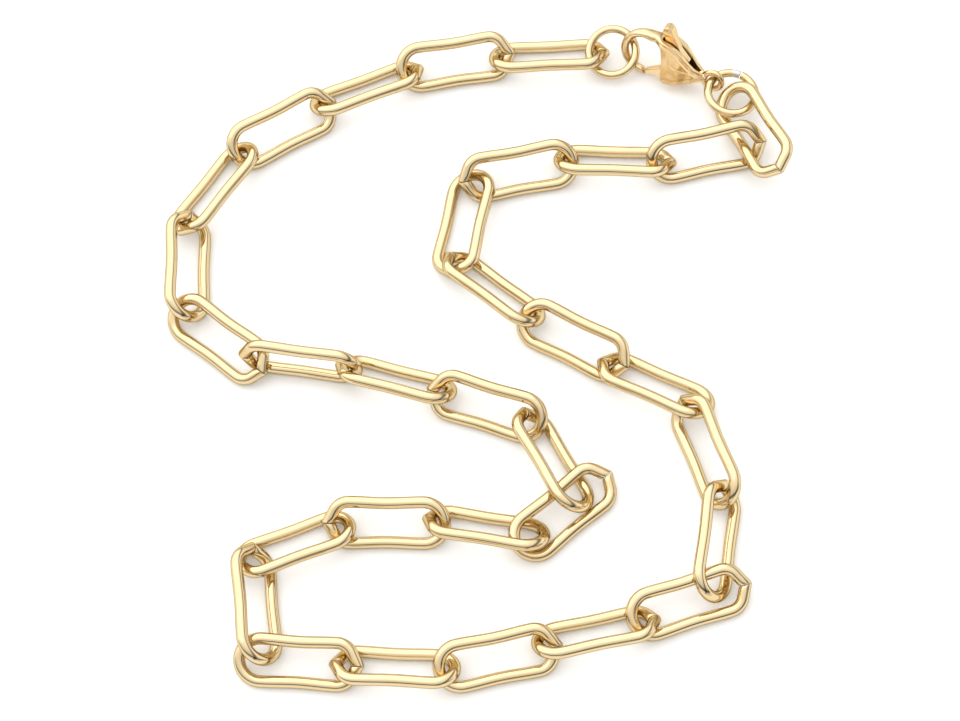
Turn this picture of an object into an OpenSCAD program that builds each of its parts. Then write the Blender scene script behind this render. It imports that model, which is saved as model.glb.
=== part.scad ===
// Paperclip chain necklace, fastened and lying on a flat surface in a loose kidney-shaped loop.
// Millimetres, +Z up. The origin is under the middle of the lay, on the surface.

/* [Wire] */
// Diameter of the wire that the long links are bent from
wire_d = 1.6; // [1.4:0.05:1.6]
// Diameter of the wire that the two jump rings are bent from
ring_wire_d = 1.15; // [1:0.05:1.15]

/* [Long links] */
// Length of a long link over its ends
link_l = 17.2; // [17:0.1:17.4]
// Width of a long link over its sides
link_w = 7.2; // [7:0.1:7.4]
// Degrees that the wire turns at each shoulder of a link's pointed end
tip_bend = 62.9; // [60:0.1:65]
// Radius of a shoulder along the middle of the wire
shoulder_r = 2.2; // [1.8:0.1:2.4]
// Gap between the two cut ends that meet at a link's point
seam_gap = 0.1; // [0.05:0.01:0.15]

/* [Jump rings] */
// Diameter of a jump ring over its wire
ring_d = 7.8; // [7.6:0.1:7.8]
// Degrees of a jump ring left open between its cut ends
ring_cut = 3; // [1:1:6]

/* [Clasp] */
// Thickness of the clasp's case over its two walls
case_t = 3.2; // [3:0.1:3.4]
// Thickness of the clasp at the root of its tail eye
neck_t = 1.4; // [1.2:0.1:1.6]
// Width of the slot between the walls, where the lever sits
slot_t = 1.5; // [1.4:0.1:1.6]
// Thickness of the lever, with its thumb tab and its gate
lever_t = 1.2; // [1.1:0.1:1.2]
// Diameter of the pin that the lever turns on
pin_d = 1; // [0.8:0.1:1.1]
// Radial clearance of the lever on the pin
pin_play = 0.06; // [0.05:0.01:0.1]
// Radius of the hook's bend along the middle of its metal
hook_r = 3.1; // [3:0.1:3.2]
// Diameter of the hook's metal at its bend
hook_d = 1.2; // [1:0.1:1.3]
// Radius of the tail eye along the middle of its metal
eye_r = 1.3; // [1.3:0.05:1.4]
// Diameter of the tail eye's metal
eye_d = 0.9; // [0.8:0.05:0.9]

/* [Hidden] */
$fn = 48;

// The lay, one row for each long link, from the hook's ring round to the tail eye's ring.
// heading: degrees anticlockwise from +X in which the row walks along the link
// lean: degrees that the left-hand side of the walk is lifted, or the right-hand side if negative
// along, across: how far the link has slid from its taut place, along its heading and to its left
// tip: 1 where the link's pointed end leads, -1 where it trails
// pitch: degrees that the leading end is lifted, or the trailing end if negative
LAY = [
    // heading, lean, along, across, tip, pitch
    [-178, 30, 0, 0, -1, 0],
    [-171, -36, -0.7, -0.4, -1, 0],
    [-158, 33, -0.7, 0.6, -1, 0],
    [-150, -38, -0.6, 0.6, -1, 0],
    [-124, 33, -0.3, 0.7, 1, 0],
    [-88, -42, -0.75, 0.61, -1, 0],
    [-38, 30, -0.78, -0.47, 1, 0],
    [-9, 84, -1.2, 1.2, -1, 0],
    [-16, -40, -0.93, 0.39, -1, 0],
    [-19, 38, -0.97, -0.18, -1, 0],
    [-61, -42, -1.06, -0.77, -1, 0],
    [-139, -18, -4.94, -0.55, -1, 0],
    [170, 38, -1.8, -1.1, 1, 0],
    [179, -35, -0.7, 0.4, 1, 0],
    [-159, 27, -1.1, 0.9, 1, 0],
    [-83, -45, -0.9, 1.3, -1, 0],
    [-4, 26, -2, -0.6, 1, 0],
    [-3, -32, -1.49, -0.03, -1, 0],
    [12, 30, -0.42, 0.2, 1, 0],
    [12, -35, -0.9, 0.6, 1, 0],
    [18, 26, -1.2, 1, 1, 0],
    [82, 51, -1.4, 3.7, 1, 0],
    [110, -48, -0.8, 0.1, 1, 0],
    [154, 30, -1.8, -1.1, 1, 0],
    [151, -33, -1.3, -1, -1, 0],
    [141, 40, -0.3, -0.3, 1, 0],
    [79, -22, -0.9, -0.1, -1, 0],
    [11, 40, -0.7, -0.3, -1, 0],
    [-3, -33, -0.4, 0.5, 1, 0],
    [12, 46, -1.1, 0.1, 1, 0],
    [115, -32, -5.6, -0.4, -1, -11],
];
function heading(i) = LAY[i][0];
function lean(i) = LAY[i][1];
function along(i) = LAY[i][2];
function across(i) = LAY[i][3];
function tip(i) = LAY[i][4];
function pitch(i) = LAY[i][5];
link_count = len(LAY);

// Where the middle of the first link lies
first_link = [9.64, 45.17];

// Links, drawn lying flat with their length along X and their pointed end at +X
wire_r = wire_d / 2;
bow_r = link_w / 2 - wire_r;
bow_x = link_w / 2 - link_l / 2;
tip_run = (bow_r - shoulder_r * (1 - cos(tip_bend))) / sin(tip_bend);
tip_x = link_l / 2 - wire_r / sin(tip_bend);
shoulder_x = tip_x - tip_run * cos(tip_bend) - shoulder_r * sin(tip_bend);

// Taut links hold each other at this distance from their middles
hold = link_l / 2 - wire_d;

function ahead(h) = [cos(h), sin(h)];
function leftward(h) = [-sin(h), cos(h)];
function step(i) =
    hold * ahead(heading(i - 1)) + (hold + along(i)) * ahead(heading(i)) + across(i) * leftward(heading(i));
function middle(i) = i == 0 ? first_link : middle(i - 1) + step(i);
function rest_height(i) = bow_r * abs(sin(lean(i))) + wire_r + hold * abs(sin(pitch(i)));

// A length of link wire along X from the origin
module rod(l) {
    rotate([0, 90, 0]) cylinder(r = wire_r, h = l);
}

// Wire bent round the Z axis
module bend(r, wire, from, sweep) {
    rotate([0, 0, from]) rotate_extrude(angle = sweep) translate([r, 0]) circle(r = wire);
}

// One long side of a link, with its shoulder and its half of the pointed end
module half_link() {
    translate([bow_x, bow_r, 0]) rod(shoulder_x - bow_x);
    difference() {
        translate([shoulder_x, bow_r - shoulder_r, 0]) rotate([0, 0, -tip_bend]) {
            bend(shoulder_r, wire_r, 90, tip_bend);
            translate([0, shoulder_r, 0]) rod(2 * tip_run);
        }
        translate([0, seam_gap / 2 - link_w, -wire_d]) cube([link_l, link_w, 2 * wire_d]);
    }
}

module long_link() {
    translate([bow_x, 0, 0]) bend(bow_r, wire_r, 90, 180);
    half_link();
    mirror([0, 1, 0]) half_link();
}

// Link i of the lay, resting on the surface with its lean and pitch
module laid_link(i) {
    turn = tip(i) > 0 ? 0 : 180;
    color("gold") translate([middle(i)[0], middle(i)[1], rest_height(i)])
        rotate([0, 0, heading(i)]) rotate([0, -pitch(i), 0]) rotate([lean(i), 0, 0])
            rotate([0, 0, turn]) long_link();
}

// Jump rings, each an open ring drawn flat with its cut at the given angle
ring_wire_r = ring_wire_d / 2;
ring_r = ring_d / 2 - ring_wire_r;
module jump_ring(cut_at) {
    bend(ring_r, ring_wire_r, cut_at + ring_cut / 2, 360 - ring_cut);
}

hook_ring_at = [18.59, 45.42, 2.55];
hook_ring_tilt = [19, -7];
hook_ring_cut_at = 200;
module hook_ring() {
    color("gold") translate(hook_ring_at) rotate([0, hook_ring_tilt[1], 0])
        rotate([hook_ring_tilt[0], 0, 0]) jump_ring(hook_ring_cut_at);
}

tail_ring_at = [35.24, 38.32, 2.7];
tail_ring_tilt = [-1.5, 6.5];
tail_ring_cut_at = 66;
module tail_ring() {
    color("gold") translate(tail_ring_at) rotate([0, tail_ring_tilt[1], 0])
        rotate([tail_ring_tilt[0], 0, 0]) jump_ring(tail_ring_cut_at);
}

// Clasp, drawn flat: the tail eye at the origin, the hook towards +X, the spine towards +Y
clasp_at = [32.64, 40.27, 2.95];
clasp_heading = 156;
clasp_roll = 114;
module place_clasp() {
    translate(clasp_at) rotate([0, 0, clasp_heading]) rotate([clasp_roll, 0, 0]) children();
}

pivot = [6.3, 0];
pin_r = pin_d / 2;
hook_middle = [10.4, 0.75];
hook_from = -106;
hook_to = 94;
hook_metal_r = hook_d / 2;
// The hook's tip ends this far from the pivot, just past the gate's end
hook_tip_reach = 4.4;

// Outline of the case's walls: belly from the eye to the mouth, the mouth's edge, then the spine
CASE = [
    [1.4, -0.4], [3.1, -1.15], [5.3, -2.15], [6.5, -2.25], [7.1, -2.1], [7.35, -1.4], [7.4, 0.4], [7.65, 2],
    [8.1, 3.1], [9.2, 3.4], [10.2, 3.4], [10.2, 4.3], [9.2, 4.45], [7.9, 4.35], [6.7, 4.1], [5.8, 3.7],
    [4.8, 3.1], [3.8, 2.2], [2.8, 1.3], [1.4, 0.4]
];
// Half thickness of the clasp at stations along it
THICKNESS = [[1, neck_t / 2], [3.5, 1.25], [5, case_t / 2], [8, case_t / 2], [10.4, hook_metal_r]];
// Outline of the slot that the lever turns in, open at the spine and at the mouth
SLOT = [
    [8.3, -2.6], [6.9, -2.6], [6.3, -1.5], [5.6, -1.5], [4, -1], [3.6, -0.1], [4, 1.3], [2, 3], [2, 9],
    [8.9, 9], [8.9, 4], [8.3, 2.9]
];
// Outline of the lever: gate, front edge, thumb tab, back edge, heel
LEVER = [
    [9.62, -2.7], [9.9, -2.15], [9.75, -1.9], [7.8, -0.75], [7.15, 0.3], [7.1, 2], [7.4, 3.1], [8, 4.9],
    [8.4, 5.5], [8.3, 6.3], [7.6, 6.5], [7, 6.1], [6.1, 4.5], [5.2, 2.6], [4.9, 1.2], [5.2, -0.3], [5.7, -0.9],
    [6.6, -1.35], [7.1, -1.9], [7.5, -2.15]
];

module tapered(outline) {
    profile = concat(
        [for (s = THICKNESS) [s[0], s[1]]],
        [for (i = [len(THICKNESS) - 1:-1:0]) [THICKNESS[i][0], -THICKNESS[i][1]]]
    );
    intersection() {
        translate([0, 0, -case_t]) linear_extrude(2 * case_t) polygon(outline);
        translate([0, 10, 0]) rotate([90, 0, 0]) linear_extrude(20) polygon(profile);
    }
}

module hook() {
    difference() {
        translate([hook_middle[0], hook_middle[1], 0]) bend(hook_r, hook_metal_r, hook_from, hook_to - hook_from);
        translate([pivot[0], pivot[1], -hook_d]) cylinder(r = hook_tip_reach, h = 2 * hook_d);
    }
}

module clasp_body() {
    color("gold") place_clasp() difference() {
        union() {
            tapered(CASE);
            bend(eye_r, eye_d / 2, 0, 360);
            hook();
        }
        translate([0, 0, -slot_t / 2]) linear_extrude(slot_t) polygon(SLOT);
        translate([pivot[0], pivot[1], -case_t]) cylinder(r = pin_r, h = 2 * case_t);
    }
}

module clasp_lever() {
    color("gold") place_clasp() difference() {
        translate([0, 0, -lever_t / 2]) linear_extrude(lever_t) polygon(LEVER);
        translate([pivot[0], pivot[1], -lever_t]) cylinder(r = pin_r + pin_play, h = 2 * lever_t);
    }
}

module clasp_pin() {
    color("goldenrod") place_clasp() translate([pivot[0], pivot[1], -case_t / 2]) cylinder(r = pin_r, h = case_t);
}

function link_name(i) = str("link_", i < 9 ? "0" : "", i + 1);

for (i = [0:link_count - 1]) laid_link(i);
hook_ring();
tail_ring();
clasp_body();
clasp_lever();
clasp_pin();
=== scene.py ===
"""Paperclip chain necklace: long bent-wire links, two jump rings and a lobster clasp, fastened and
lying in a loose loop on a pale surface. Sizes are in metres where a name or comment doesn't say
millimetres."""
import math

import bmesh
import bpy
from mathutils import Matrix, Vector


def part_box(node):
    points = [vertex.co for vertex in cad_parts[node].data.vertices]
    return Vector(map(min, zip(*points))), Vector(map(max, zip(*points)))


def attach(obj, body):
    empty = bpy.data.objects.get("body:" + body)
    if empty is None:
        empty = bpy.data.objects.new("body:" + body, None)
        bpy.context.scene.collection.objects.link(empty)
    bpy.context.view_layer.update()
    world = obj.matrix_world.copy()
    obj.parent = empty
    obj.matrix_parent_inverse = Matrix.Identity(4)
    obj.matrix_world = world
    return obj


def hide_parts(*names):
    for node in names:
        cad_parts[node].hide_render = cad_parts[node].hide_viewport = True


bl_info = {
    "name": "Paperclip chain necklace",
    "version": (1, 0, 0),
    "blender": (4, 5, 0),
    "location": "3D View > Sidebar > Necklace",
    "description": "A chain of long wire links with jump rings and a lobster clasp",
    "category": "Object",
}

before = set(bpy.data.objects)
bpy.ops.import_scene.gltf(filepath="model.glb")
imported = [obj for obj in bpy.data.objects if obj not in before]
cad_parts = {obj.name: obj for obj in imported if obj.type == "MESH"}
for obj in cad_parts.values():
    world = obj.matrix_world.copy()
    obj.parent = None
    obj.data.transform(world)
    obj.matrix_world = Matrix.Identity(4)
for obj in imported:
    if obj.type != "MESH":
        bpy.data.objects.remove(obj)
MM = 0.001

# The lay, one row for each link from the hook's ring round to the tail eye's ring: heading and
# lean in degrees, slide along and across in mm, the pointed end leading (1) or trailing (-1),
# and pitch in degrees
LAY = (
    (-178, 30, 0, 0, -1, 0),
    (-171, -36, -0.7, -0.4, -1, 0),
    (-158, 33, -0.7, 0.6, -1, 0),
    (-150, -38, -0.6, 0.6, -1, 0),
    (-124, 33, -0.3, 0.7, 1, 0),
    (-88, -42, -0.75, 0.61, -1, 0),
    (-38, 30, -0.78, -0.47, 1, 0),
    (-9, 84, -1.2, 1.2, -1, 0),
    (-16, -40, -0.93, 0.39, -1, 0),
    (-19, 38, -0.97, -0.18, -1, 0),
    (-61, -42, -1.06, -0.77, -1, 0),
    (-139, -18, -4.94, -0.55, -1, 0),
    (170, 38, -1.8, -1.1, 1, 0),
    (179, -35, -0.7, 0.4, 1, 0),
    (-159, 27, -1.1, 0.9, 1, 0),
    (-83, -45, -0.9, 1.3, -1, 0),
    (-4, 26, -2, -0.6, 1, 0),
    (-3, -32, -1.49, -0.03, -1, 0),
    (12, 30, -0.42, 0.2, 1, 0),
    (12, -35, -0.9, 0.6, 1, 0),
    (18, 26, -1.2, 1, 1, 0),
    (82, 51, -1.4, 3.7, 1, 0),
    (110, -48, -0.8, 0.1, 1, 0),
    (154, 30, -1.8, -1.1, 1, 0),
    (151, -33, -1.3, -1, -1, 0),
    (141, 40, -0.3, -0.3, 1, 0),
    (79, -22, -0.9, -0.1, -1, 0),
    (11, 40, -0.7, -0.3, -1, 0),
    (-3, -33, -0.4, 0.5, 1, 0),
    (12, 46, -1.1, 0.1, 1, 0),
    (115, -32, -5.6, -0.4, -1, -11),
)
FIRST_LINK_MM = (9.64, 45.17)

# Jump rings: the node, the middle in mm, the tilt about X and Y and the place of the cut in
# degrees, and the length in mm that is bare beside the cut
RINGS = (
    ("hook_ring", (18.59, 45.42, 2.55), (19, -7), 200, 0),
    ("tail_ring", (35.24, 38.32, 2.7), (-1.5, 6.5), 66, 1.2),
)

# Clasp outlines in the clasp's own plane, in mm: X from the tail eye to the hook, Y to the spine
CASE_WALL = (
    (1.1, -0.4), (3.1, -1.15), (5.3, -2.15), (6.5, -2.25), (7.1, -2.1), (7.35, -1.4), (7.4, 0.4),
    (7.65, 2), (8.1, 3.1), (8.5, 3.2), (9.1, 3.3), (9.1, 4.4), (8.7, 4.45), (7.9, 4.35), (6.7, 4.1),
    (5.8, 3.7), (4.8, 3.1), (3.8, 2.2), (2.8, 1.3), (1.1, 0.4),
)
CASE_BELLY = (
    (0.9, -0.4), (1.4, -0.4), (3.1, -1.15), (5.3, -2.15), (6.5, -2.25), (6.68, -2.2), (6.3, -1.5),
    (5.6, -1.5), (4, -1), (3.2, -0.5), (2.6, 0.2), (2.2, 0.5), (1.8, 0.5), (1.4, 0.4), (0.9, 0.4),
)
HOOK_ROOT = (
    (7.8, 3.1), (8.35, 3.05), (9.2, 3.4), (10.6, 3.3), (10.6, 4.4), (9.2, 4.45), (8.2, 4.4),
)
LEVER = (
    (9.62, -2.7), (9.9, -2.15), (9.75, -1.9), (7.8, -0.75), (7.15, 0.3), (7.1, 2), (7.4, 3.1),
    (8, 4.9), (8.4, 5.5), (8.3, 6.3), (7.6, 6.5), (7, 6.1), (6.1, 4.5), (5.3, 3.2), (4.4, 2.45),
    (3.75, 1.95), (3.85, 1.65), (4.6, 1.7), (4.9, 1.2), (5.2, -0.3), (5.7, -0.9), (6.6, -1.35),
    (7.1, -1.9), (7.5, -2.15),
)
# The edge of a wall that is cushioned, which leaves out where the hook's root joins it
CASE_RIM = CASE_WALL[:9] + CASE_WALL[12:] + CASE_WALL[:1]
# On each face of the case, a groove follows the spine and a fine raised line runs to the tail
FACE_GROOVE = (
    (8.3, 3.85), (6.9, 3.6), (6.0, 3.2), (5.1, 2.6), (4.1, 1.7), (3.2, 0.9), (2.3, 0.3),
)
FACE_LINE = (
    (7.3, 3.2), (6.8, 2.3), (6.2, 1.2), (5.5, 0.75), (4.5, 0.7), (3.3, 0.6), (2.3, 0.3),
)
# Half thickness of the clasp at stations along it, in mm
THICKNESS = ((1, 0.7), (3.2, 1.2), (5.4, 1.6), (7.6, 1.6), (9.1, 0.95))

# The clasp's walls and core, in mm: the rough outer face of a wall, the radius of its corners,
# how far the core reaches into the walls, the length of a strip that is shaped as one, and where
# the strips start, with how many there are
WALL_OUT, WALL_CORNER, CORE_LAP, STRIP = 1.6, 0.5, 0.1, 0.4
WALL_STRIPS, CORE_STRIPS = (1.5, 19), (1.1, 24)
# The slot's half width at its tail end in mm, where that end is, and how fast the slot opens
SLOT_TAIL, SLOT_START, SLOT_OPENS = 0.2, 1.5, 0.25
# The pressed faces, in mm: where they start and end along the clasp, the skin beside the slot
# that stays flat, and the height over which the pressing grows from there
FACE_START, FACE_END, FLAT_SKIN, FACE_RISE = 1.5, 9.2, 0.15, 0.25
# Depth or height and width of the cushioned edge, the groove and the raised line, in mm
CUSHION, GROOVE, LINE = (0.22, 1.1), (0.12, 0.12), (0.035, 0.13)

# The hook's middle, its two ends and the turn in degrees over which its band widens to the root
HOOK_MIDDLE = (0.0104, 0.00075, 0)
HOOK_ENDS, BAND_START, BAND_TURN = (112, -106), 35, 70
# The hook's metal at its tip as a share of its own, and how much wider the band is at the root
TIP_SHARE, ROOT_SPREAD = 0.94, 0.9
# The end of the hook that is trimmed, and the swing round the pin that it leaves to the gate
TIP_LENGTH, GATE_SWING = 0.0015, 0.00446
# Where the hook leaves the case it is filed smooth: from and to along the clasp, from which height
# on, and the margins of the rounds of filing
FILED, FILED_MARGINS = (0.0078, 0.0108, 0.0026), (0.0006, 0.0004, 0.0002, 0)

# The pin that the lever turns on
PIN_AT = (0.0063, 0, 0)
PIN_RADIUS, PIN_LENGTH, BORE_RADIUS = 0.0005, 0.00316, 0.00058
# The lever, in mm: the radius of its corners, then for the gate, the leaf and the thumb tab where a
# taper or flare starts, over what length, and by what share; the gate lies below one height and
# the leaf above another
LEVER_CORNER = 0.25
GATE_TAPER, LEAF_TAPER, TAB_FLARE = (7.5, 2.2, 0.3), (5, 1.2, 0.25), (4.9, 1.1, 0.4)
GATE_BELOW, LEAF_ABOVE = 0.6, 0.9

# The grain of the cast skins, and the rounds of smoothing that they get
CASE_GRAIN, LEVER_GRAIN = 0.00006, 0.00005
CASE_ROUNDS, FACE_ROUNDS, FILED_ROUNDS, LEVER_ROUNDS = 12, 14, 20, 16

# Sides of the drawn wire, and the steps of each bend and straight
WIRE_SIDES, ROUND_STEPS, STRAIGHT_STEPS, SHOULDER_STEPS, TIP_STEPS = 24, 14, 14, 10, 4
RING_STEPS, HOOK_STEPS, EYE_STEPS = 72, 44, 48
PIN_SIDES, BORE_SIDES = 32, 48
# The soft edges that cutting and tumbling leave
LINK_EDGE, RING_EDGE, PIN_EDGE = 0.00006, 0.00005, 0.00008
# Points nearer than this are one
SAME = 1e-7

# How bright the white room is from one horizon over the top to the other, as places from 0 to 1:
# from the front, with a dark band low down, to the back, and from the right to the left
FRONT_TO_BACK = (
    (0.0, 0.85), (0.08, 0.8), (0.12, 0.12), (0.175, 0.12), (0.21, 0.6), (0.36, 0.92), (0.5, 1.14),
    (0.9, 1.2), (1.0, 0.6),
)
RIGHT_TO_LEFT = (
    (0.0, 0.85), (0.12, 0.8), (0.16, 0.2), (0.21, 0.2), (0.26, 0.8), (0.4, 1.0), (0.9, 1.0),
    (1.0, 0.8),
)
ROOM_LIGHT = 1.34
# The surface's size, and the strength of the painted glow that keeps shadows on it pale
SURFACE_HALF, SURFACE_GLOW = 1.5, 0.07
LAMP_AT, LAMP_WIDTH, LAMP_WATTS = (-0.35, 0.45, 0.75), 1.8, 3.0
# The camera: its target, its turn and its height above the surface in degrees, its distance and
# its lens in mm
TARGET, CAMERA_TURN, CAMERA_HEIGHT = (0.00019, -0.00127, 0), 7.2, 65.2
CAMERA_AWAY, LENS, SENSOR = 0.3887, 107.1, 36


class NecklaceChain(bpy.types.PropertyGroup):
    """Wire, long links and jump rings."""

    wire: bpy.props.FloatProperty(
        name="Link wire", description="Diameter of the links' wire", default=0.0016, unit="LENGTH")
    length: bpy.props.FloatProperty(
        name="Link length", description="Length of a link over its ends",
        default=0.0172, unit="LENGTH")
    width: bpy.props.FloatProperty(
        name="Link width", description="Width of a link over its sides",
        default=0.0072, unit="LENGTH")
    waist: bpy.props.FloatProperty(
        name="Waist", description="How far each long side is pressed in",
        default=0.00016, unit="LENGTH")
    tip_bend: bpy.props.FloatProperty(
        name="Tip bend", description="Turn of the wire at each shoulder of the pointed end",
        default=math.radians(62.9), subtype="ANGLE")
    shoulder: bpy.props.FloatProperty(
        name="Shoulder radius", description="Radius of a shoulder along the wire's middle",
        default=0.0022, unit="LENGTH")
    seam: bpy.props.FloatProperty(
        name="Seam", description="Gap between the two cut ends", default=0.0001, unit="LENGTH")
    ring: bpy.props.FloatProperty(
        name="Jump ring", description="Diameter of a jump ring over its wire",
        default=0.0078, unit="LENGTH")
    ring_wire: bpy.props.FloatProperty(
        name="Ring wire", description="Diameter of the jump rings' wire",
        default=0.00115, unit="LENGTH")
    ring_cut: bpy.props.FloatProperty(
        name="Ring cut", description="Turn left open between a ring's cut ends",
        default=math.radians(3), subtype="ANGLE")


class NecklaceClasp(bpy.types.PropertyGroup):
    """Lobster clasp."""

    place: bpy.props.FloatVectorProperty(
        name="Tail eye", description="Middle of the clasp's tail eye",
        default=(0.03264, 0.04027, 0.00295), subtype="TRANSLATION")
    heading: bpy.props.FloatProperty(
        name="Heading", description="Direction of the clasp on the surface",
        default=math.radians(156), subtype="ANGLE")
    roll: bpy.props.FloatProperty(
        name="Roll", description="Turn of the clasp about its length",
        default=math.radians(114), subtype="ANGLE")
    slot: bpy.props.FloatProperty(
        name="Slot", description="Width of the slot between the case's walls",
        default=0.0015, unit="LENGTH")
    lever: bpy.props.FloatProperty(
        name="Lever", description="Thickness of the lever", default=0.0012, unit="LENGTH")
    hook_bend: bpy.props.FloatProperty(
        name="Hook bend", description="Radius of the hook along its middle",
        default=0.0031, unit="LENGTH")
    hook_metal: bpy.props.FloatProperty(
        name="Hook metal", description="Diameter of the hook's metal",
        default=0.0012, unit="LENGTH")
    eye_bend: bpy.props.FloatProperty(
        name="Eye bend", description="Radius of the tail eye along its middle",
        default=0.0013, unit="LENGTH")
    eye_metal: bpy.props.FloatProperty(
        name="Eye metal", description="Diameter of the tail eye's metal",
        default=0.0009, unit="LENGTH")


class NecklaceFinish(bpy.types.PropertyGroup):
    """Colours, as sRGB hex values."""

    gold: bpy.props.StringProperty(
        name="Gold", description="Polished gold-coloured plating", default="#E0CCA5")
    deep_gold: bpy.props.StringProperty(
        name="Deep gold", description="Plating where it is a little thicker", default="#DCC396")
    cast_gold: bpy.props.StringProperty(
        name="Cast gold", description="Plating on the clasp", default="#EFD2A4")
    edge_gold: bpy.props.StringProperty(
        name="Edge gold", description="Plating seen edge on", default="#A89868")
    steel: bpy.props.StringProperty(
        name="Steel", description="Bare cut ends of the wire", default="#D5D3CE")
    copper: bpy.props.StringProperty(
        name="Copper", description="Tinted cut end of the wire", default="#9A5B33")
    surface: bpy.props.StringProperty(
        name="Surface", description="What the chain lies on", default="#FAFAF9")


def linear(code):
    """sRGB hex to a linear colour."""
    parts = [int(code[i:i + 2], 16) / 255 for i in (1, 3, 5)]
    return tuple(c / 12.92 if c <= 0.04045 else ((c + 0.055) / 1.055) ** 2.4
                 for c in parts) + (1.0,)


def add_node(tree, kind, settings=None, inputs=None):
    """A node with its settings, and its inputs set to values or linked from sockets."""
    node = tree.nodes.new(kind)
    for name, value in (settings or {}).items():
        setattr(node, name, value)
    for name, value in (inputs or {}).items():
        if isinstance(value, bpy.types.NodeSocket):
            tree.links.new(value, node.inputs[name])
        else:
            node.inputs[name].default_value = value
    return node


def gold_plated(name, light, low, high):
    """Gold-coloured plating, a little deeper in colour and duller in patches, between a low and a
    high roughness."""
    material = bpy.data.materials.get(name)
    if material:
        return material
    look = bpy.context.scene.necklace_finish
    material = bpy.data.materials.new(name)
    material.use_nodes = True
    tree = material.node_tree
    shader = tree.nodes["Principled BSDF"]
    place = add_node(tree, "ShaderNodeTexCoord").outputs["Object"]
    # Patches about 6 mm across
    patches = add_node(tree, "ShaderNodeTexNoise", inputs={
        "Vector": place, "Scale": 160, "Detail": 2})
    tint = add_node(tree, "ShaderNodeMix", {"data_type": "RGBA"})
    tree.links.new(patches.outputs["Fac"], tint.inputs[0])
    tint.inputs[6].default_value = linear(light)
    tint.inputs[7].default_value = linear(look.deep_gold)
    tree.links.new(tint.outputs[2], shader.inputs["Base Color"])
    rough = add_node(tree, "ShaderNodeMapRange", inputs={
        "Value": patches.outputs["Fac"], "From Min": 0.3, "From Max": 0.7,
        "To Min": low, "To Max": high})
    tree.links.new(rough.outputs["Result"], shader.inputs["Roughness"])
    # Ripples of the drawn and tumbled surface, about 0.5 mm apart and a micrometre deep
    ripples = add_node(tree, "ShaderNodeTexNoise", inputs={
        "Vector": place, "Scale": 2000, "Detail": 2})
    bump = add_node(tree, "ShaderNodeBump", inputs={
        "Strength": 0.12, "Distance": 0.00001, "Height": ripples.outputs["Fac"]})
    tree.links.new(bump.outputs["Normal"], shader.inputs["Normal"])
    shader.inputs["Metallic"].default_value = 1.0
    # The plating darkens to olive where it is seen edge on
    shader.inputs["Specular Tint"].default_value = linear(look.edge_gold)
    return material


def gold_plated_steel():
    """Stainless steel wire, ion-plated gold and barrel polished: a mirror, faintly rippled."""
    return gold_plated("gold_plated_steel", bpy.context.scene.necklace_finish.gold, 0.06, 0.11)


def gold_plated_casting():
    """Cast stainless steel under the same plating, tumbled to a softer shine."""
    return gold_plated("gold_plated_casting", bpy.context.scene.necklace_finish.cast_gold,
                       0.16, 0.22)


def cut_metal(name, code):
    """The wire's core where the cutter left it bare: fine parallel shear marks, a satin face."""
    material = bpy.data.materials.get(name)
    if material:
        return material
    material = bpy.data.materials.new(name)
    material.use_nodes = True
    tree = material.node_tree
    shader = tree.nodes["Principled BSDF"]
    place = add_node(tree, "ShaderNodeTexCoord").outputs["Object"]
    # Shear marks a fraction of a millimetre apart
    marks = add_node(tree, "ShaderNodeTexWave", inputs={
        "Vector": place, "Scale": 1600, "Distortion": 1.0, "Detail": 1.0})
    bump = add_node(tree, "ShaderNodeBump", inputs={
        "Strength": 0.15, "Distance": 0.00001, "Height": marks.outputs["Fac"]})
    tree.links.new(bump.outputs["Normal"], shader.inputs["Normal"])
    shader.inputs["Base Color"].default_value = linear(code)
    shader.inputs["Metallic"].default_value = 1.0
    shader.inputs["Roughness"].default_value = 0.3
    return material


def finish_piece(bm, name, node, body, materials, near=0.0006):
    """Makes the mesh a piece that stands for the CAD node, lies as near to it and rides on its
    body."""
    bmesh.ops.remove_doubles(bm, verts=bm.verts, dist=SAME)
    bmesh.ops.recalc_face_normals(bm, faces=bm.faces)
    if bm.calc_volume(signed=True) < 0:
        bmesh.ops.reverse_faces(bm, faces=bm.faces)
    mesh = bpy.data.meshes.new(name)
    bm.to_mesh(mesh)
    bm.free()
    for material in materials:
        mesh.materials.append(material)
    piece = bpy.data.objects.new(name, mesh)
    bpy.context.collection.objects.link(piece)
    for i, (low, high) in enumerate(zip(*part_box(node))):
        here = [v.co[i] for v in mesh.vertices]
        if abs(min(here) - low) > near or abs(max(here) - high) > near:
            raise RuntimeError(
                f"{name} isn't where {node} is: {min(here)}-{max(here)}, {low}-{high}")
    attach(piece, body)
    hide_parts(node)
    return piece


def of_kind(geom, kind):
    """The vertices, edges or faces among the parts that a step returns."""
    return [g for g in geom if isinstance(g, kind)]


def everything(bm):
    """All parts of a mesh."""
    return bm.verts[:] + bm.edges[:] + bm.faces[:]


def smooth_shaded(bm):
    """Shades every face of a fine skin smooth."""
    for f in bm.faces:
        f.smooth = True


def carry(bm, edges, steps, move):
    """Draws a round of wire onward from its open edge, one move at a time, and returns the new
    edge."""
    for _ in range(steps):
        out = bmesh.ops.extrude_edge_only(bm, edges=edges)["geom"]
        verts = of_kind(out, bmesh.types.BMVert)
        bmesh.ops.transform(bm, verts=verts, matrix=move)
        new = set(verts)
        edges = [e for e in of_kind(out, bmesh.types.BMEdge) if all(v in new for v in e.verts)]
    return edges


def close_end(bm, edges, material):
    """Puts a flat cut face on an open end."""
    for f in bmesh.ops.contextual_create(bm, geom=edges)["faces"]:
        f.material_index = material
        f.smooth = False


def soft_edges(bm, edges, offset, material=-1):
    """Rounds edges a little."""
    bmesh.ops.bevel(bm, geom=edges, offset=offset, segments=2, profile=0.5, affect="EDGES",
                    material=material)


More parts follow.
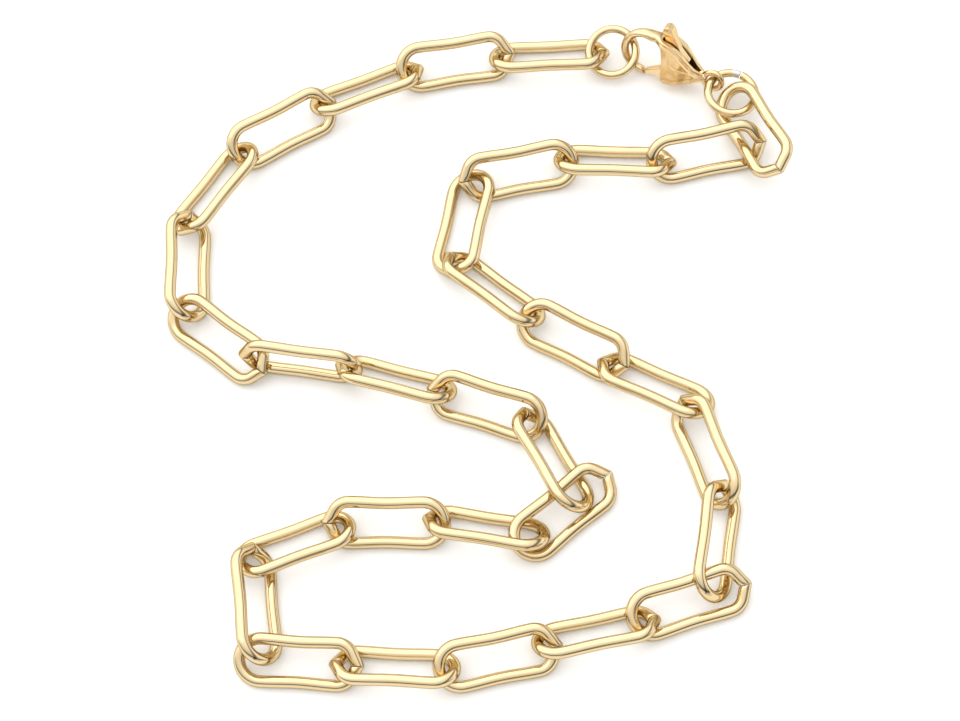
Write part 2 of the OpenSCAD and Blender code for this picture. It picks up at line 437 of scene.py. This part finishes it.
def long_link():
    """One link drawn flat, its length along X and its pointed end at +X."""
    size = bpy.context.scene.necklace_chain
    r = size.wire / 2
    bow_r = size.width / 2 - r
    bow_x = size.width / 2 - size.length / 2
    run = (bow_r - size.shoulder * (1 - math.cos(size.tip_bend))) / math.sin(size.tip_bend)
    tip_x = size.length / 2 - r / math.sin(size.tip_bend)
    shoulder_x = (tip_x - run * math.cos(size.tip_bend)
                  - size.shoulder * math.sin(size.tip_bend))
    # One half, from the middle of the round end to past the tip
    bm = bmesh.new()
    start = Matrix.Translation((bow_x - bow_r, 0, 0)) @ Matrix.Rotation(math.pi / 2, 4, "X")
    bmesh.ops.create_circle(bm, cap_ends=False, radius=r, segments=WIRE_SIDES, matrix=start)
    out = bmesh.ops.spin(bm, geom=list(bm.edges), cent=(bow_x, 0, 0), axis=(0, 0, -1),
                         angle=math.pi / 2, steps=ROUND_STEPS)
    edges = of_kind(out["geom_last"], bmesh.types.BMEdge)
    step = (shoulder_x - bow_x) / STRAIGHT_STEPS
    edges = carry(bm, edges, STRAIGHT_STEPS, Matrix.Translation((step, 0, 0)))
    out = bmesh.ops.spin(bm, geom=edges, cent=(shoulder_x, bow_r - size.shoulder, 0),
                         axis=(0, 0, -1), angle=size.tip_bend, steps=SHOULDER_STEPS)
    edges = of_kind(out["geom_last"], bmesh.types.BMEdge)
    onward = Matrix.Rotation(-size.tip_bend, 3, "Z") @ Vector((run / 2, 0, 0))
    carry(bm, edges, TIP_STEPS, Matrix.Translation(onward))
    # Half the seam is cut off, and the round end's open edge with it, which goes back to the middle
    cut = bmesh.ops.bisect_plane(bm, geom=everything(bm), dist=1e-8, clear_outer=True,
                                 plane_co=(0, size.seam / 2, 0), plane_no=(0, -1, 0))
    cut_end = [e for e in of_kind(cut["geom_cut"], bmesh.types.BMEdge)
               if all(v.co.x > 0 for v in e.verts)]
    for v in bm.verts:
        if v.co.x < 0 and v.co.y < size.seam / 2 + 1e-6:
            v.co.y = 0
    for v in bm.verts:
        span = (v.co.x - bow_x) / (shoulder_x - bow_x)
        if 0 < span < 1 and v.co.y > 0:
            v.co.y -= size.waist * math.sin(math.pi * span) ** 2
    close_end(bm, cut_end, 1)
    # The other half mirrors it
    half = bmesh.ops.duplicate(bm, geom=everything(bm))["geom"]
    bmesh.ops.scale(bm, vec=(1, -1, 1), verts=of_kind(half, bmesh.types.BMVert))
    bmesh.ops.remove_doubles(bm, verts=bm.verts, dist=SAME)
    for f in bm.faces:
        f.smooth = f.material_index == 0
    rim = [e for e in bm.edges if len(e.link_faces) == 2
           and e.link_faces[0].material_index != e.link_faces[1].material_index]
    soft_edges(bm, rim, LINK_EDGE, 0)
    return bm


def lay_matrices():
    """Where each link of the lay rests."""
    size = bpy.context.scene.necklace_chain
    hold = size.length / 2 - size.wire
    here = Vector((FIRST_LINK_MM[0], FIRST_LINK_MM[1], 0)) * MM
    places, last = [], None
    for heading, lean, along, across, tip, pitch in LAY:
        turn = Matrix.Rotation(math.radians(heading), 3, "Z")
        ahead, left = turn @ Vector((1, 0, 0)), turn @ Vector((0, 1, 0))
        if last is not None:
            here = here + hold * last + (hold + along * MM) * ahead + across * MM * left
        last = ahead
        side_up = (size.width / 2 - size.wire / 2) * abs(math.sin(math.radians(lean)))
        end_up = hold * abs(math.sin(math.radians(pitch)))
        places.append(
            Matrix.Translation((here.x, here.y, side_up + size.wire / 2 + end_up))
            @ turn.to_4x4() @ Matrix.Rotation(math.radians(-pitch), 4, "Y")
            @ Matrix.Rotation(math.radians(lean), 4, "X")
            @ Matrix.Rotation(0 if tip > 0 else math.pi, 4, "Z"))
    return places


class NECKLACE_OT_links(bpy.types.Operator):
    """Bends the long links and lays them end through end"""

    bl_idname = "necklace.links"
    bl_label = "Long links"

    def execute(self, context):
        look = context.scene.necklace_finish
        materials = [gold_plated_steel(), cut_metal("cut_steel", look.steel)]
        drawn = long_link()
        for i, place in enumerate(lay_matrices(), 1):
            bm = drawn.copy()
            bmesh.ops.transform(bm, matrix=place, verts=bm.verts)
            finish_piece(bm, f"long_link_{i:02d}", f"link_{i:02d}", "chain", materials)
        drawn.free()
        return {"FINISHED"}


def jump_ring(cut_at, bare):
    """One ring drawn flat round the origin, its cut at a turn in degrees, and bare of plating
    beside the cut over a length in mm."""
    size = bpy.context.scene.necklace_chain
    bm = bmesh.new()
    middle = (size.ring - size.ring_wire) / 2
    begin = Matrix.Rotation(math.radians(cut_at) + size.ring_cut / 2, 4, "Z")
    start = begin @ Matrix.Translation((middle, 0, 0)) @ Matrix.Rotation(math.pi / 2, 4, "X")
    bmesh.ops.create_circle(bm, cap_ends=False, radius=size.ring_wire / 2, segments=WIRE_SIDES,
                            matrix=start)
    out = bmesh.ops.spin(bm, geom=list(bm.edges), cent=(0, 0, 0), axis=(0, 0, 1),
                         angle=math.tau - size.ring_cut, steps=RING_STEPS, use_duplicate=False)
    last = of_kind(out["geom_last"], bmesh.types.BMEdge)
    for f in bm.faces:
        f.smooth = True
        here = begin.inverted() @ f.calc_center_median()
        f.material_index = int(0 < math.atan2(here.y, here.x) * middle < bare * MM)
    ends = set(last)
    first = [e for e in bm.edges if len(e.link_faces) == 1 and e not in ends]
    close_end(bm, first, 1)
    close_end(bm, last, 2)
    soft_edges(bm, [e for e in bm.edges if any(len(f.verts) > 4 for f in e.link_faces)], RING_EDGE)
    return bm


class NECKLACE_OT_rings(bpy.types.Operator):
    """Coils the two jump rings, each with its cut"""

    bl_idname = "necklace.rings"
    bl_label = "Jump rings"

    def execute(self, context):
        look = context.scene.necklace_finish
        materials = [gold_plated_steel(), cut_metal("cut_steel", look.steel),
                     cut_metal("cut_copper", look.copper)]
        for node, at, tilt, cut_at, bare in RINGS:
            bm = jump_ring(cut_at, bare)
            place = (Matrix.Translation(Vector(at) * MM)
                     @ Matrix.Rotation(math.radians(tilt[1]), 4, "Y")
                     @ Matrix.Rotation(math.radians(tilt[0]), 4, "X"))
            bmesh.ops.transform(bm, matrix=place, verts=bm.verts)
            finish_piece(bm, "jump_" + node, node, "chain", materials)
        return {"FINISHED"}


def clasp_place():
    """Where the clasp lies."""
    size = bpy.context.scene.necklace_clasp
    return (Matrix.Translation(size.place) @ Matrix.Rotation(size.heading, 4, "Z")
            @ Matrix.Rotation(size.roll, 4, "X"))


def ramp(value, start, over):
    """0 up to the start, 1 once past it by the given length, and straight between."""
    return max(0, min(1, (value - start) / over))


def plate(bm, outline, low, high, corner):
    """A flat plate between two heights in mm, the corners of its outline rounded."""
    verts = [bm.verts.new(Vector((x, y, low)) * MM) for x, y in outline]
    bm.faces.new(verts)
    if corner:
        bmesh.ops.bevel(bm, geom=verts, offset=corner * MM, segments=4, profile=0.5,
                        affect="VERTICES", clamp_overlap=True, material=-1)
    out = bmesh.ops.extrude_face_region(bm, geom=bm.faces[:])["geom"]
    bmesh.ops.translate(bm, vec=(0, 0, (high - low) * MM), verts=of_kind(out, bmesh.types.BMVert))


def cut_across(bm, first, strips):
    """Cuts a plate into strips from a station in mm on, so that it can be shaped along its
    length."""
    for i in range(strips):
        bmesh.ops.bisect_plane(bm, geom=everything(bm), dist=SAME,
                               plane_co=((first + STRIP * i) * MM, 0, 0), plane_no=(1, 0, 0))


def half_thickness(x):
    """Half thickness of the clasp at a station, in mm."""
    for (x0, t0), (x1, t1) in zip(THICKNESS, THICKNESS[1:]):
        if x < x1:
            share = ramp(x, x0, x1 - x0)
            return t0 + (t1 - t0) * share * share * (3 - 2 * share)
    return THICKNESS[-1][1]


def distance(x, y, line):
    """Distance in mm from a point to a line of straight parts."""
    found = []
    for (ax, ay), (bx, by) in zip(line, line[1:]):
        dx, dy = bx - ax, by - ay
        t = max(0, min(1, ((x - ax) * dx + (y - ay) * dy) / (dx * dx + dy * dy)))
        found.append(math.hypot(x - ax - t * dx, y - ay - t * dy))
    return min(found)


def soften(bm, verts, rounds):
    """Rounds the edges of a fine skin a little more."""
    for _ in range(rounds):
        bmesh.ops.smooth_vert(bm, verts=verts, factor=0.5, use_axis_x=True, use_axis_y=True,
                              use_axis_z=True)


def join(bm, part):
    """Adds one solid to the others."""
    mesh = bpy.data.meshes.new("part")
    part.to_mesh(mesh)
    part.free()
    bm.from_mesh(mesh)
    bpy.data.meshes.remove(mesh)


def held(bm, name):
    """A passing object that holds a mesh for a modifier."""
    bmesh.ops.recalc_face_normals(bm, faces=bm.faces)
    mesh = bpy.data.meshes.new(name)
    bm.to_mesh(mesh)
    bm.free()
    holder = bpy.data.objects.new(name, mesh)
    bpy.context.collection.objects.link(holder)
    return holder


def cast(bm, grain, bore=None):
    """One closed skin over the overlapping solids, as a casting comes from its mould, with a bore
    if one is given."""
    bmesh.ops.remove_doubles(bm, verts=bm.verts, dist=1e-8)
    holders = [held(bm, "rough")]
    if bore:
        holders.append(held(bore, "bore"))
        drill = holders[0].modifiers.new("drill", "BOOLEAN")
        drill.operation, drill.solver, drill.object = "DIFFERENCE", "EXACT", holders[1]
    skin = holders[0].modifiers.new("skin", "REMESH")
    skin.mode, skin.voxel_size = "VOXEL", grain
    graph = bpy.context.evaluated_depsgraph_get()
    made = bpy.data.meshes.new_from_object(holders[0].evaluated_get(graph))
    for holder in holders:
        mesh = holder.data
        bpy.data.objects.remove(holder)
        bpy.data.meshes.remove(mesh)
    bm = bmesh.new()
    bm.from_mesh(made)
    bpy.data.meshes.remove(made)
    return bm


def case_solids(bm, gap):
    """The case's two walls, on either side of a slot of half width gap in mm, with the core that
    joins them at the belly and at the hook's root."""
    for side in (-1, 1):
        part = bmesh.new()
        heights = sorted((side * gap, side * WALL_OUT))
        plate(part, CASE_WALL, *heights, WALL_CORNER)
        cut_across(part, *WALL_STRIPS)
        # The slot draws in toward the tail
        for v in part.verts:
            x = v.co.x / MM
            inner = min(gap, SLOT_TAIL + SLOT_OPENS * max(0, x - SLOT_START))
            outer = abs(v.co.z) > gap * MM + 1e-6
            v.co.z = side * MM * (half_thickness(x) if outer else inner)
        join(bm, part)
    for outline in (CASE_BELLY, HOOK_ROOT):
        part = bmesh.new()
        plate(part, outline, -1, 1, 0)
        cut_across(part, *CORE_STRIPS)
        for v in part.verts:
            height = min(gap + CORE_LAP, half_thickness(v.co.x / MM))
            v.co.z = math.copysign(height * MM, v.co.z)
        join(bm, part)


def hook_solid():
    """The hook, a wide band at its root that draws in to a round tip."""
    size = bpy.context.scene.necklace_clasp
    part = bmesh.new()
    centre = Matrix.Translation(HOOK_MIDDLE)
    begin, end = (math.radians(a) for a in HOOK_ENDS)
    out_to_metal = Matrix.Translation((size.hook_bend, 0, 0))
    start = (centre @ Matrix.Rotation(begin, 4, "Z") @ out_to_metal
             @ Matrix.Rotation(math.pi / 2, 4, "X"))
    bmesh.ops.create_circle(part, cap_ends=True, radius=size.hook_metal / 2, segments=WIRE_SIDES,
                            matrix=start)
    face = part.faces[:][0]
    onward = centre @ Matrix.Rotation((end - begin) / HOOK_STEPS, 4, "Z") @ centre.inverted()
    for _ in range(HOOK_STEPS):
        out = bmesh.ops.extrude_face_region(part, geom=[face])["geom"]
        face = of_kind(out, bmesh.types.BMFace)[0]
        bmesh.ops.transform(part, matrix=onward, verts=of_kind(out, bmesh.types.BMVert))
    for v in part.verts:
        here = v.co - centre.translation
        angle = math.atan2(here.y, here.x)
        middle = (centre.translation
                  + Vector((math.cos(angle), math.sin(angle), 0)) * size.hook_bend)
        root = ramp(angle, math.radians(BAND_START), math.radians(BAND_TURN))
        v.co = middle + (v.co - middle) * (TIP_SHARE + (1 - TIP_SHARE) * root)
        v.co.z *= 1 + ROOT_SPREAD * root
    # The end is trimmed round the lever's pin, clear of the gate
    tip = centre @ Matrix.Rotation(end, 4, "Z") @ Vector((size.hook_bend, 0, 0))
    pin = Vector(PIN_AT)
    for v in part.verts:
        reach = (v.co - pin).to_2d()
        if (v.co - tip).length < TIP_LENGTH and reach.length < GATE_SWING:
            v.co.xy = pin.xy + reach.normalized() * GATE_SWING
    return part


def eye_solid():
    """The tail eye."""
    size = bpy.context.scene.necklace_clasp
    part = bmesh.new()
    start = Matrix.Translation((size.eye_bend, 0, 0)) @ Matrix.Rotation(math.pi / 2, 4, "X")
    bmesh.ops.create_circle(part, cap_ends=False, radius=size.eye_metal / 2, segments=WIRE_SIDES,
                            matrix=start)
    bmesh.ops.spin(part, geom=part.edges[:], cent=(0, 0, 0), axis=(0, 0, 1), angle=math.tau,
                   steps=EYE_STEPS, use_merge=True)
    return part


def press_faces(bm, gap):
    """Cushions the case's faces and presses in the groove along the spine and the fine raised
    line."""
    for v in bm.verts:
        x, y, z = v.co / MM
        if FACE_START < x < FACE_END and abs(z) > gap + FLAT_SKIN:
            drop = CUSHION[0] * (1 - ramp(distance(x, y, CASE_RIM), 0, CUSHION[1])) ** 2
            groove = GROOVE[0] * math.exp(-(distance(x, y, FACE_GROOVE) / GROOVE[1]) ** 2)
            line = LINE[0] * math.exp(-(distance(x, y, FACE_LINE) / LINE[1]) ** 2)
            outer = min(1, (abs(z) - gap - FLAT_SKIN) / FACE_RISE)
            v.co.z += math.copysign((line - groove - drop) * outer * MM, z)


class NECKLACE_OT_clasp_body(bpy.types.Operator):
    """Casts the clasp's case, hook and tail eye in one piece"""

    bl_idname = "necklace.clasp_body"
    bl_label = "Clasp body"

    def execute(self, context):
        gap = context.scene.necklace_clasp.slot / MM / 2
        bm = bmesh.new()
        case_solids(bm, gap)
        join(bm, hook_solid())
        join(bm, eye_solid())
        bm = cast(bm, CASE_GRAIN)
        soften(bm, bm.verts, CASE_ROUNDS)
        press_faces(bm, gap)
        soften(bm, bm.verts, FACE_ROUNDS)
        start, end, height = FILED
        for margin in FILED_MARGINS:
            filed = [v for v in bm.verts if start - margin < v.co.x < end + margin
                     and height - margin < v.co.y]
            soften(bm, filed, FILED_ROUNDS)
        smooth_shaded(bm)
        bmesh.ops.transform(bm, matrix=clasp_place(), verts=bm.verts)
        finish_piece(bm, "clasp_case", "clasp_body", "chain", [gold_plated_casting()])
        return {"FINISHED"}


class NECKLACE_OT_clasp_lever(bpy.types.Operator):
    """Stamps the lever, with its gate, thumb tab and the leaf over the spring, and sets it on its
    pin"""

    bl_idname = "necklace.clasp_lever"
    bl_label = "Clasp lever"

    def execute(self, context):
        size = context.scene.necklace_clasp
        half = size.lever / MM / 2
        pin = Matrix.Translation(PIN_AT)
        bm = bmesh.new()
        plate(bm, LEVER, -half, half, LEVER_CORNER)
        bore = bmesh.new()
        bmesh.ops.create_cone(bore, cap_ends=True, segments=BORE_SIDES, radius1=BORE_RADIUS,
                              radius2=BORE_RADIUS, depth=2 * size.lever, matrix=pin)
        bm = cast(bm, LEVER_GRAIN, bore)
        # The gate and the leaf draw in toward their ends, and the thumb tab flares
        for v in bm.verts:
            x, y = v.co.x / MM, v.co.y / MM
            gate = ramp(x, GATE_TAPER[0], GATE_TAPER[1]) if y < GATE_BELOW else 0
            leaf = ramp(-x, -LEAF_TAPER[0], LEAF_TAPER[1]) if y > LEAF_ABOVE else 0
            tab = ramp(y, TAB_FLARE[0], TAB_FLARE[1])
            v.co.z *= (1 - GATE_TAPER[2] * gate - LEAF_TAPER[2] * leaf
                       + TAB_FLARE[2] * tab * (2 - tab))
        soften(bm, bm.verts, LEVER_ROUNDS)
        smooth_shaded(bm)
        bmesh.ops.transform(bm, matrix=clasp_place(), verts=bm.verts)
        # The leaf reaches past the solid lever
        finish_piece(bm, "clasp_gate_lever", "clasp_lever", "lever", [gold_plated_casting()],
                     near=0.0014)
        bm = bmesh.new()
        bmesh.ops.create_cone(bm, cap_ends=True, segments=PIN_SIDES, radius1=PIN_RADIUS,
                              radius2=PIN_RADIUS, depth=PIN_LENGTH, matrix=clasp_place() @ pin)
        soft_edges(bm, [e for e in bm.edges if any(len(f.verts) > 4 for f in e.link_faces)],
                   PIN_EDGE)
        for f in bm.faces:
            f.smooth = len(f.verts) < 5
        finish_piece(bm, "clasp_rivet", "clasp_pin", "chain", [gold_plated_steel()])
        return {"FINISHED"}


def white_surface():
    """White surface with a faint painted glow, which keeps the shadows on it pale."""
    bm = bmesh.new()
    bmesh.ops.create_grid(bm, x_segments=1, y_segments=1, size=SURFACE_HALF)
    mesh = bpy.data.meshes.new("surface")
    bm.to_mesh(mesh)
    bm.free()
    surface = bpy.data.objects.new("surface", mesh)
    bpy.context.scene.collection.objects.link(surface)
    material = bpy.data.materials.new("white_surface_painted_glow")
    material.use_nodes = True
    shader = material.node_tree.nodes["Principled BSDF"]
    colour = linear(bpy.context.scene.necklace_finish.surface)
    shader.inputs["Base Color"].default_value = colour
    shader.inputs["Roughness"].default_value = 0.9
    shader.inputs["Specular IOR Level"].default_value = 0.1
    # A faint painted glow, not a lamp: it lifts the shadows on the surface
    shader.inputs["Emission Color"].default_value = (1, 1, 1, 1)
    shader.inputs["Emission Strength"].default_value = SURFACE_GLOW
    mesh.materials.append(material)
    return surface


def brightness(tree, up, ahead, rows):
    """How bright the room is by the angle from the horizon ahead over the top to the one
    behind."""
    angle = add_node(tree, "ShaderNodeMath", {"operation": "ARCTAN2"}, {0: up, 1: ahead})
    share = add_node(tree, "ShaderNodeMapRange", inputs={
        "Value": angle.outputs[0], "From Min": 0.0, "From Max": math.pi,
        "To Min": 0.0, "To Max": 1.0})
    shown = add_node(tree, "ShaderNodeValToRGB", inputs={"Fac": share.outputs["Result"]})
    while len(shown.color_ramp.elements) < len(rows):
        shown.color_ramp.elements.new(0.5)
    for element, (at, light) in zip(shown.color_ramp.elements, rows):
        element.position = at
        element.color = (light, light, light, 1)
    return shown.outputs["Color"]


def white_room():
    """A white room as the world, brightest behind and above."""
    world = bpy.data.worlds.new("white_room")
    bpy.context.scene.world = world
    world.use_nodes = True
    tree = world.node_tree
    way = add_node(tree, "ShaderNodeTexCoord").outputs["Generated"]
    split = add_node(tree, "ShaderNodeSeparateXYZ", inputs={"Vector": way})
    front = add_node(tree, "ShaderNodeMath", {"operation": "MULTIPLY"},
                     {0: split.outputs["Y"], 1: -1.0})
    room = add_node(tree, "ShaderNodeMix", {"data_type": "RGBA", "blend_type": "MULTIPLY"})
    room.inputs[0].default_value = 1.0
    up = split.outputs["Z"]
    tree.links.new(brightness(tree, up, front.outputs[0], FRONT_TO_BACK), room.inputs[6])
    tree.links.new(brightness(tree, up, split.outputs["X"], RIGHT_TO_LEFT), room.inputs[7])
    background = tree.nodes["Background"]
    tree.links.new(room.outputs[2], background.inputs["Color"])
    background.inputs["Strength"].default_value = ROOM_LIGHT


class NECKLACE_OT_stage(bpy.types.Operator):
    """Sets the pale surface, the soft light and the camera"""

    bl_idname = "necklace.stage"
    bl_label = "Surface, light and camera"

    def execute(self, context):
        scene = context.scene
        floor = white_surface()
        white_room()

        lamp = bpy.data.lights.new("softbox", "AREA")
        lamp.shape, lamp.size, lamp.energy = "DISK", LAMP_WIDTH, LAMP_WATTS
        softbox = bpy.data.objects.new("softbox", lamp)
        facing = Vector(LAMP_AT).to_track_quat("Z", "Y").to_matrix().to_4x4()
        softbox.matrix_world = Matrix.Translation(LAMP_AT) @ facing
        scene.collection.objects.link(softbox)

        view = bpy.data.cameras.new("camera")
        view.lens, view.sensor_width = LENS, SENSOR
        view.clip_start, view.clip_end = 0.01, 10
        camera = bpy.data.objects.new("camera", view)
        turn = math.radians(CAMERA_TURN)
        camera.matrix_world = (
            Matrix.Translation(TARGET) @ Matrix.Rotation(turn, 4, "Z")
            @ Matrix.Rotation(math.radians(90 - CAMERA_HEIGHT), 4, "X")
            @ Matrix.Rotation(-turn, 4, "Z") @ Matrix.Translation((0, 0, CAMERA_AWAY)))
        scene.collection.objects.link(camera)
        scene.camera = camera
        scene.view_settings.view_transform = "Standard"
        return {"FINISHED"}


class NECKLACE_PT_panel(bpy.types.Panel):
    """Sizes, colours and pieces of the necklace"""

    bl_label = "Necklace"
    bl_idname = "NECKLACE_PT_panel"
    bl_space_type = "VIEW_3D"
    bl_region_type = "UI"
    bl_category = "Necklace"

    def draw(self, context):
        scene = context.scene
        for group in (scene.necklace_chain, scene.necklace_clasp, scene.necklace_finish):
            box = self.layout.box()
            for name in type(group).__annotations__:
                box.prop(group, name)
        for operator in OPERATORS:
            self.layout.operator(operator.bl_idname)


OPERATORS = (NECKLACE_OT_links, NECKLACE_OT_rings, NECKLACE_OT_clasp_body,
             NECKLACE_OT_clasp_lever, NECKLACE_OT_stage)
CLASSES = (NecklaceChain, NecklaceClasp, NecklaceFinish) + OPERATORS + (NECKLACE_PT_panel,)


def register():
    for cls in CLASSES:
        bpy.utils.register_class(cls)
    bpy.types.Scene.necklace_chain = bpy.props.PointerProperty(type=NecklaceChain)
    bpy.types.Scene.necklace_clasp = bpy.props.PointerProperty(type=NecklaceClasp)
    bpy.types.Scene.necklace_finish = bpy.props.PointerProperty(type=NecklaceFinish)


def unregister():
    del bpy.types.Scene.necklace_finish
    del bpy.types.Scene.necklace_clasp
    del bpy.types.Scene.necklace_chain
    for cls in reversed(CLASSES):
        bpy.utils.unregister_class(cls)


def main():
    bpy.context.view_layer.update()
    register()
    bpy.ops.necklace.links()
    bpy.ops.necklace.rings()
    bpy.ops.necklace.clasp_body()
    bpy.ops.necklace.clasp_lever()
    bpy.ops.necklace.stage()


if __name__ == "__main__":
    main()
